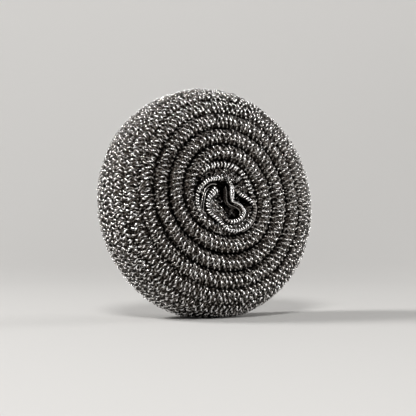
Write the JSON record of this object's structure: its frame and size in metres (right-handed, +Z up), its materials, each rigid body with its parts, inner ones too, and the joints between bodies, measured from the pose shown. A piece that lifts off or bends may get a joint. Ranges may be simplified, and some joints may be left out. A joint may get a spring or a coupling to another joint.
{
  "type": "pot scrubber",
  "caption": "Domed round pad of knitted stainless steel wire, rolled up in a spiral with a folded eye, standing on its rim.",
  "frame": {"origin": "middle of the footprint, on the surface that it stands on", "axes": "+Z up, -Y towards the front face with the folded eye, +X to the right as seen from the front; the disc leans back 8 degrees"},
  "size_m": [0.0798, 0.0396, 0.0787],
  "materials": {
    "stainless_wire": "bright drawn wire, dark between the loops"
  },
  "bodies": {
    "root": {"knitted_wire_roll": "stainless_wire"}
  },
  "joints": []
}
